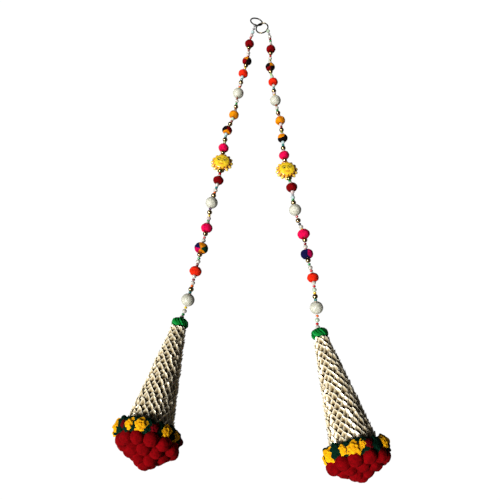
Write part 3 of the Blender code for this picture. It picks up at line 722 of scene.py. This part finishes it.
def face_relief(x, y):
    """Height added to the dome of the face and its painted lines, where x and y run from -1 to 1.

    Each feature is a hill or a ridge: brows and lids are arcs, the nose widens downwards, and the
    mouth is a shallow groove between two lips. Lines is how much olive paint lies on a place.
    """
    side_x = np.abs(x)
    y = y + 0.07
    brow = np.exp(-(((np.hypot(side_x - 0.36, (y - 0.10) * 0.86) - 0.27) / 0.062) ** 2)) * (y > 0.14)
    brow = brow * np.clip((y - 0.14) / 0.12, 0, 1)
    eye = hill(side_x, y, 0.36, 0.13, 0.15, 0.10)
    lid = np.exp(-(((np.hypot(side_x - 0.36, (y - 0.12) * 1.5) - 0.175) / 0.045) ** 2))
    nose = hill(x, y, 0, -0.10, 0.115, 0.11) + 0.6 * hill(x, y, 0, 0.10, 0.07, 0.20)
    wing = hill(side_x, y, 0.12, -0.15, 0.06, 0.06)
    cheek = hill(side_x, y, 0.50, -0.22, 0.20, 0.18)
    bow = y + 0.46 - 0.16 * x * x
    lips = np.exp(-((bow / 0.085) ** 2)) * np.exp(-((x / 0.27) ** 4))
    mouth = np.exp(-((bow / 0.022) ** 2)) * np.exp(-((x / 0.25) ** 4))
    chin = hill(x, y, 0, -0.74, 0.20, 0.12)
    crease = np.exp(-(((side_x - 0.30 - 0.35 * (y + 0.30) ** 2) / 0.035) ** 2)) * hill(0, y, 0, -0.34, 1, 0.13)
    height = 0.55 * brow + 0.55 * eye + 0.25 * lid + 1.0 * nose + 0.35 * wing + 0.5 * cheek
    height = height + 0.45 * lips - 0.35 * mouth + 0.35 * chin - 0.2 * crease
    lines = np.clip(brow * 0.95 + lid + 0.8 * mouth + 0.55 * crease + 0.35 * wing, 0, 1)
    pupil = np.hypot(side_x - 0.36, y - 0.12) < 0.088
    return height, lines, pupil, np.clip(lips * 1.1, 0, 1), eye


def sun_skin(middle, way):
    """The whole sun as one skin: rings from the middle of the face out to the rays and back under.

    A ring's radius and height run from their value between rays to that at a ray's tip with the ray's
    own outline, sin of half its turn. Away from the thread the dips between rays are shallower.
    """
    turn = turns(SUN_TURNS)
    ray = np.abs(np.sin(SUN_RAYS / 2 * turn)) ** 1.1
    shallow = 2.4 * MM * np.sin(turn) ** 2
    share = np.linspace(0.02, 1.0, FACE_RINGS)
    face_height = (9.4 + 3.5 * (1 - share**2) ** 0.6) * MM
    # Down from the rim of the face: radius between rays, radius at a tip, height between, height at a tip.
    skirt = np.array((
        (13.75, 13.95, 8.9, 8.9), (13.7, 14.1, 7.9, 8.0), (13.6, 14.4, 6.7, 7.2), (13.9, 15.4, 5.7, 6.9),
        (14.2, 16.6, 5.2, 6.6), (14.3, 17.8, 4.8, 5.9), (14.3, 18.7, 4.3, 5.0), (14.3, 19.15, 3.9, 4.1),
        (14.2, 19.0, 3.4, 3.3), (14.0, 18.0, 2.9, 2.8), (13.6, 15.4, 2.3, 2.4), (12.9, 13.1, 0.9, 0.9),
        (12.3, 12.3, 0.15, 0.15), (8.0, 8.0, 0.1, 0.1),
    )) * MM  # fmt: skip
    radius = np.concatenate([np.repeat((share * SUN_FACE)[:, None], SUN_TURNS, 1),
                             skirt[:, :1] + (skirt[:, 1:2] - skirt[:, :1]) * ray])
    radius[FACE_RINGS + 3 : FACE_RINGS + 10] += shallow * (1 - ray) * np.array((0.3, 0.7, 1, 1, 1, 1, 0.9))[:, None]
    height = np.concatenate([np.repeat(face_height[:, None], SUN_TURNS, 1),
                             skirt[:, 2:3] + (skirt[:, 3:4] - skirt[:, 2:3]) * ray])
    up = -way
    right = np.cross(up, (0.0, 0.0, 1.0))
    x, y = radius * np.cos(turn + math.pi / 2), radius * np.sin(turn + math.pi / 2)
    relief, lines, pupil, lips, eye = face_relief(x[:FACE_RINGS] / SUN_FACE, y[:FACE_RINGS] / SUN_FACE)
    inside = np.clip((1 - share) / 0.12, 0, 1)[:, None]
    height[:FACE_RINGS] += relief * inside * MM
    rim = np.clip((share[:, None] - 0.82) / 0.18, 0, 1)
    face = mixed(YELLOW, AMBER, 0.65 * rim[..., None])
    for cover, colour in ((0.45 * eye, EYE_YELLOW), (lips, LIP), (lines, OLIVE), (pupil, INK)):
        face = mixed(face, colour, (cover * (inside > 0))[..., None])
    spots = np.clip((share[:, None] - 0.87) / 0.05, 0, 1) * np.clip(1.5 - 2.6 * ray, 0, 1)[None]
    face = mixed(face, PAINT_RED, spots[..., None])
    out = np.clip((radius[FACE_RINGS:] / MM - 13.9) / 3.6, 0, 1)[..., None]
    between = np.clip(1.5 - 2.1 * ray, 0, 1)[None, :, None] * np.clip(1.6 - 1.2 * out, 0, 1)
    rays = mixed(mixed(AMBER, TIP_YELLOW, out), PAINT_RED, between)
    rays[:2] = mixed(AMBER, rays[:2], 0.5)
    # Painted shade: the rings under the rays and round the back of the sun are darkened.
    rays[9:] *= (0.55, 0.55, 0.4)
    paint = np.concatenate([face, rays])
    ground = np.array((middle[0], middle[1], 0.0))
    points = ground + x[..., None] * right + y[..., None] * up + height[..., None] * np.array((0, 0, 1.0))
    return skin(points[None], tint=paint[None])


painted = mottled_finish("sun paint", 520.0, (0.86, 1.1), 0.2, 0.0003, Roughness=0.34, Coat_Weight=0.5)
for side, _, _, middle, way in big_beads("sun"):
    add_piece(f"painted_sun_{side}", [sun_skin(middle, way)], painted, [f"sun_{side}"])

# ---- Collars ----
# A thick ring of green yarn at the top of each tassel: two-ply yarn wound aslant round a ring of
# wadding, in several greens, and pulled tight.
YARN_RADIUS = 1.7 * MM
COLLAR_GREENS = (
    (0.003, 0.20, 0.024), (0.012, 0.30, 0.055), (0.002, 0.12, 0.016), (0.004, 0.24, 0.035), (0.002, 0.15, 0.02),
)  # fmt: skip
WADDING_GREEN = (0.002, 0.05, 0.010)
COLLAR_WINDS = 3
WADDING_OUT = 6.4 * MM
# How much further down its axis a tassel's foot lies on its upper side than in its middle.
LEAN = {"left": -3 * MM, "right": 3 * MM}
BAND_PLACE = {"left": 160 * MM, "right": 164 * MM}


def tassel_frame(side):
    """The tassel's head, and its aside, under and down directions."""
    swing, rise = TASSEL_SWING[side], TASSEL_RISE
    aside = np.array((math.cos(swing), math.sin(swing), 0.0))
    under = np.array((math.sin(swing) * math.sin(rise), -math.cos(swing) * math.sin(rise), -math.cos(rise)))
    return places[side][0][-1], aside, under, tassel_way(side)


def laid(side, radius, turn, down, shift=0.0):
    """Points at this radius, turn and way down a tassel, which sags over towards its foot as it lies;
    they are pressed flat where they meet the table."""
    head, aside, under, way = tassel_frame(side)
    x, y = radius * np.cos(turn) + shift, radius * np.sin(turn)
    z = down - LEAN[side] * np.minimum(1, down / BAND_PLACE[side]) * y / (45 * MM)
    points = head + x[..., None] * aside + y[..., None] * under + z[..., None] * way
    return above_table(points, 0.15 * MM)


def yarn(path, reference, tint):
    """A hoop of yarn along a path, its round section pinched into two plies that twist as they go."""
    spoke = tube(path, np.ones(path.shape[-2]), reference, 8, True) - path[..., None, :]
    twist = np.arange(path.shape[-2])[:, None] * 0.9
    ply = YARN_RADIUS * (1 + 0.16 * np.cos(2 * (turns(8) - twist)))
    return skin(above_table(path[..., None, :] + spoke * ply[..., None]), looped=True, tint=tint)


yarn_finish = fibre_finish("looped yarn", 1100.0, 0.0005)
for side in SIDES:
    skins = []
    for strand, colour in enumerate(COLLAR_GREENS):
        along = turns(120)
        wind = COLLAR_WINDS * along + 2 * math.pi * strand / len(COLLAR_GREENS)
        lump = 1 + 0.05 * np.cos(5 * along + 2 * strand) + 0.05 * np.cos(9 * along - strand)
        around = along + 0.12 * np.sin(2 * wind + along)
        out = WADDING_OUT + 4.3 * MM * np.cos(wind) * lump
        path = laid(side, out, around, 5.2 * MM * np.sin(wind) * lump)[None]
        heart = laid(side, np.full(len(around), WADDING_OUT), around, np.zeros(len(around)))[None]
        skins.append(yarn(path, path - heart, colour))
    turn, section = turns(48)[:, None], turns(16)[None]
    wad = laid(side, WADDING_OUT + 3.9 * MM * np.cos(section), turn, 4.8 * MM * np.sin(section) + 0 * turn)
    skins.append(skin(wad[None], looped=True, tint=WADDING_GREEN))
    add_piece(f"yarn_collar_{side}", skins, yarn_finish, [f"collar_{side}"])

# ---- Leaf cones ----
# Each tassel's body is a long cone of gilt foil leaves on a brown core. A leaf is a pointed trough of
# thin foil, folded along its middle and fixed at its foot, and its tip stands up and outwards over the
# feet of the two leaves above. Painted highlight brightens its raised edges; painted brown shade fills its foot and
# fold.
CONE_TOP = 7.4 * MM
CONE_FOOT = {"left": 150 * MM, "right": 154 * MM}
CONE_TOP_RADIUS = 7.5 * MM
CONE_FOOT_RADIUS = 27 * MM
LEAF_LENGTH = 13.0 * MM
LEAF_ROWS = 25
LEAF_COUNTS = (8, 11, 14, 17, 20)
FOIL = 0.3 * MM
CORE_WIDEST = 25.3 * MM
# The foil's face colour, a painted highlight for its edges and a painted shade for its foot and fold.
FOIL_EDGE_HIGHLIGHT, FOIL_FACE, FOIL_FOOT_SHADE = (1.0, 0.95, 0.80), (0.93, 0.74, 0.40), (0.07, 0.034, 0.008)


def cone_radius(side, down):
    """The cone's radius at this way down the tassel."""
    share = (down - CONE_TOP) / (CONE_FOOT[side] - CONE_TOP)
    return CONE_TOP_RADIUS + (CONE_FOOT_RADIUS - CONE_TOP_RADIUS) * share


def leaf_row(side, row, seed):
    """The leaves of one row. Across a leaf u runs from -1 to 1, and v up it from its foot to its tip.

    Its half width is the sine of half a turn of v, so that its edges are furthest apart in the middle.
    The edges stand up with |u|, and the whole leaf lifts off the cone with v squared.
    """
    rng = np.random.default_rng(seed)
    lowest = CONE_FOOT[side] + 6 * MM
    foot = lowest - (LEAF_ROWS - 1 - row) * (lowest - CONE_TOP) / (LEAF_ROWS + 0.6)
    count = LEAF_COUNTS[5 * row // LEAF_ROWS]
    length = min(LEAF_LENGTH, foot - CONE_TOP - 0.5 * MM)
    u = np.concatenate([np.linspace(-1, 1, 7), np.linspace(1, -1, 7)])
    under = np.repeat((0.0, 1.0), 7)
    v = np.linspace(0, 1, 8)[:, None]
    size = 1 + 0.14 * rng.uniform(-1, 1, (count, 1, 1))
    tilt = 0.4 * rng.uniform(-1, 1, (count, 1, 1))
    wide = np.sin(math.pi * (0.12 + 0.85 * v))
    down = foot - length * size * v + 0 * u
    turn = 2 * math.pi * (np.arange(count)[:, None, None] + 0.5 * (row % 2)) / count
    turn = turn + math.pi / count * (1.04 * u * wide + 0.25 * tilt * v)
    lift = 5.0 * MM * size * v**2 * (1 + 0.3 * tilt * u)
    fold = 2.5 * MM * np.abs(u) ** 0.9 * wide
    out = cone_radius(side, down) - 1.2 * MM + lift + fold - under * FOIL
    # Painted shade and highlight: the foil goes dark brown at its foot and down its fold, pale along its raised
    # edges and tip, and darker on its back.
    unshaded_foil = np.clip(1.5 * v + 0.9 * np.abs(u) - 0.85, 0, 1)[..., None]
    edge_highlight = np.clip(3.0 * np.maximum(np.abs(u), v) - 2.1, 0, 1)[..., None] * unshaded_foil
    tint = mixed(mixed(FOIL_FOOT_SHADE, FOIL_FACE, unshaded_foil), FOIL_EDGE_HIGHLIGHT, edge_highlight) * (1 - 0.45 * under[:, None])
    tint = tint * (1 + 0.10 * rng.uniform(-1, 1, (count, 1, 1, 1)))
    return skin(laid(side, out, turn, down), tint=tint)


gilt = mottled_finish("gilt foil", 260.0, (0.84, 1.12), 0.3, 0.0006, Metallic=0.15, Roughness=0.28)

brown, tree, shader = new_finish("brown core", Roughness=0.8)
stained = blend(tree, noise(tree, 900.0, 4.0), (0.035, 0.016, 0.006, 1), (0.14, 0.075, 0.025, 1))
tree.links.new(stained, shader.inputs["Base Color"])

for side in SIDES:
    leaves = [leaf_row(side, row, 500 + row + SIDES[side] * 30) for row in range(LEAF_ROWS)]
    add_piece(f"gilt_leaves_{side}", leaves, gilt, [f"cone_{side}"], crease=35)
    down = np.linspace(CONE_TOP + 0.2 * MM, BAND_PLACE[side] + 9 * MM, 44)[:, None]
    core = laid(side, np.minimum(cone_radius(side, down) - 1.4 * MM, CORE_WIDEST), turns(48)[None], down)
    add_piece(f"cone_core_{side}", [skin(core[None])], brown, [f"cone_{side}"])

# ---- Flower bands ----
# A ring of yarn flowers sewn side by side round the foot of the cone: most yellow, some dark red, with
# dark green tufts tucked between them. A flower is a dome of yarn with two rounds of ruffled petals.
BAND_RING = 34 * MM
FLOWER_RINGS = 19
FLOWER_COLOURS = {"yellow": (0.93, 0.47, 0.006), "red": (0.14, 0.001, 0.004), "green": (0.002, 0.024, 0.012)}
# Each colour darkened as painted shade for the folds and the underside of a flower.
FLOWER_FOLD_SHADES = {"yellow": (0.86, 0.27, 0.002), "red": (0.07, 0.001, 0.003), "green": (0.001, 0.008, 0.005)}
# Where a flower sits round the band from its top, in degrees, its colour, its radius, and how far it
# has slipped down the tassel, in millimetres.
FLOWERS = {
    "left": (
        (-86, "yellow", 5.0, 4), (-63, "yellow", 6.4, 1), (-41, "red", 3.6, 2), (-27, "yellow", 6.2, 1),
        (-4, "yellow", 7.0, 1), (22, "red", 5.3, 2), (43, "yellow", 6.0, 1), (68, "yellow", 5.4, 1),
        (98, "red", 6.4, 0), (125, "yellow", 7.2, 0), (152, "yellow", 7.4, 0), (178, "red", 6.8, 0),
        (205, "yellow", 7.4, 0), (232, "yellow", 7.2, 0), (255, "red", 6.2, 0),
    ),
    "right": (
        (-83, "yellow", 4.8, 4), (-64, "yellow", 6.6, 1), (-33, "yellow", 5.2, 0), (-13, "yellow", 7.6, 2),
        (4, "yellow", 4.8, -1), (14, "red", 5.4, 0), (51, "yellow", 5.8, 0), (68, "yellow", 5.6, -1),
        (94, "red", 6.4, 0), (122, "yellow", 7.2, 0), (150, "yellow", 7.4, 0), (178, "red", 6.8, 0),
        (205, "yellow", 7.4, 0), (230, "yellow", 7.2, 0), (254, "red", 6.2, 0),
    ),
}  # fmt: skip


def flower(side, degrees, colour, radius, slipped, out, seed):
    """A ruffled dome whose s runs from its middle to its rim and t round it.

    It stands 0.62 radius (1 - s^2) high. Two rounds of petals lift it with the cosine of two turns of
    s, and each round is cut into petals by the cosine of five turns of t, a half petal on. A flower at
    the side of the band flops over to face up.
    """
    rng = np.random.default_rng(seed)
    angle = math.radians(degrees) - math.pi / 2
    _, aside, under, way = tassel_frame(side)
    outward = math.cos(angle) * aside + math.sin(angle) * under
    across = math.cos(angle) * under - math.sin(angle) * aside
    if 40 < abs(degrees) < 100:
        outward = unit(outward + (0, -0.2, 1.4))
        radius, slipped = 1.12 * radius, slipped - 1
        across = unit(np.cross(way, outward))
    s = np.concatenate([np.linspace(0.03, 1, FLOWER_RINGS), (0.94, 0.2)])[:, None]
    t = turns(44)[None]
    first = rng.uniform(0, 2 * math.pi)
    petal = np.cos(5 * t + first + 3.1 * np.round(2 * s) + 0.6 * np.sin(2 * t + first))
    ruffle = np.cos(4 * math.pi * s - 0.9 * petal)
    top = np.arange(len(s))[:, None] < FLOWER_RINGS
    spread = 1.2 * radius * MM * s * (1 + 0.10 * petal * s + 0.06 * np.sin(3 * t + first))
    height = radius * MM * 0.62 * (1 - s**2) + 0.07 * radius * MM * (ruffle + 0.6 * petal) * np.minimum(1, 3 * s)
    height = np.where(top, height, -1.2 * MM * (1.1 - s))
    centre = laid(side, np.array(BAND_RING + out * MM), np.array(angle), np.array(BAND_PLACE[side] + slipped * MM))
    offset = spread[..., None] * (np.cos(t)[..., None] * across + np.sin(t)[..., None] * way)
    normal = unit(outward + 0.06 * way)
    points = centre + offset + height[..., None] * normal
    points = above_table(points + 0.4 * MM * lumps(points, 2.6 * MM, seed)[..., None] * outward, 0.15 * MM)
    # Painted shade: the low places of the ruffles and petals and the flower's underside take the darker fold colour.
    share = np.clip(0.78 + 0.26 * ruffle + 0.14 * petal, 0, 1)[..., None] * top[..., None]
    tint = mixed(FLOWER_FOLD_SHADES[colour], FLOWER_COLOURS[colour], share)
    return skin(points[None], tint=(tint * (1 + 0.1 * rng.uniform(-1, 1)))[None])


for side in SIDES:
    skins = [
        flower(side, degrees, colour, radius, slipped, 4.2, 900 + number + 40 * SIDES[side])
        for number, (degrees, colour, radius, slipped) in enumerate(FLOWERS[side])
    ]
    rounds = [degrees for degrees, *_ in FLOWERS[side]]
    for number, (here, after) in enumerate(zip(rounds, rounds[1:] + [rounds[0] + 360])):
        for slipped, size in ((4.0, 5.6), (-3.0, 5.4)):
            seed = 1200 + 2 * number + int(slipped > 0)
            skins.append(flower(side, (here + after) / 2, "green", size, slipped, 2.6, seed))
    turn, section = turns(150)[:, None], turns(28)[None]
    out, down = BAND_RING - 0.6 * MM + 6.2 * MM * np.cos(section), BAND_PLACE[side] + 7.0 * MM * np.sin(section)
    ring = laid(side, out, turn, down + 0 * turn)
    ruffled = 0.5 * MM * lumps(ring, 2.2 * MM, 77)[..., None] * unit(ring - ring.mean(1, keepdims=True))
    skins.append(skin((ring + ruffled)[None], looped=True, tint=np.array(FLOWER_COLOURS["green"]) * 0.8))
    add_piece(f"yarn_flowers_{side}", skins, yarn_finish, [f"band_{side}"])

# ---- Pompoms at the foot ----
# Small dark red wool pompoms sewn close together on a domed backing, in rows that close on a last one
# at the tip. They are the same trimmed wool as the poms of the strings, pressed up where they lie.
CLUSTER_MIDDLE = {"left": 171 * MM, "right": 175 * MM}
CLUSTER_OUT = 31.5 * MM
CLUSTER_DOWN = {"left": 20.6 * MM, "right": 15.6 * MM}
CLUSTER_ROWS = ((12, 31.5, 0.08, 0.5), (8, 20.0, 0.45, 0.0), (4, 9.0, 0.80, 0.5), (1, 0.0, 1.0, 0.0))
CLUSTER_ASIDE = {"left": (4.0, 2.5), "right": (-1.0, -1.0)}
CLUSTER_BALL = 9.6 * MM
CLUSTER_GRID = 26, 38
CLUSTER_STRAY = 50
BACKING_SHARE = 0.84
PRESSED = 0.75

for side in SIDES:
    skins = []
    at_backing, at_tip = CLUSTER_ASIDE[side]
    heart = laid(side, np.array(0.0), np.array(0.0), np.array(CLUSTER_MIDDLE[side] - 9 * MM), at_backing * MM)
    for count, out, depth, turn in CLUSTER_ROWS:
        for k in range(count):
            around = 2 * math.pi * (k + turn) / count
            x, y = out * math.cos(around) * MM, out * math.sin(around) * MM
            y *= PRESSED if y > 0 else 1
            down = CLUSTER_MIDDLE[side] + depth * CLUSTER_DOWN[side]
            shift = (at_backing + depth * at_tip) * MM
            middle = laid(side, np.array(math.hypot(x, y)), np.array(math.atan2(y, x)), np.array(down), shift)
            out_way, seed = unit(middle - heart), 2000 + 13 * len(skins)
            skins += wool_ball(
                middle, out_way, CLUSTER_BALL, CLUSTER_BALL, 0.0, "red", seed, *CLUSTER_GRID, CLUSTER_STRAY
            )
    turn = turns(48)[None]
    tilt = np.linspace(math.pi / 2, 0.05, 14)[:, None]
    radius = BACKING_SHARE * CLUSTER_OUT * np.sin(tilt) * np.where(np.sin(turn) > 0, PRESSED, 1)
    down = CLUSTER_MIDDLE[side] + BACKING_SHARE * CLUSTER_DOWN[side] * np.cos(tilt) + 0 * turn
    backing = laid(side, radius, turn, down, at_backing * MM)
    skins.append(skin(backing[None], tint=(0.02, 0.0005, 0.001)))
    add_piece(f"wool_pompoms_{side}", skins, wool_finish, [f"pompoms_{side}"])
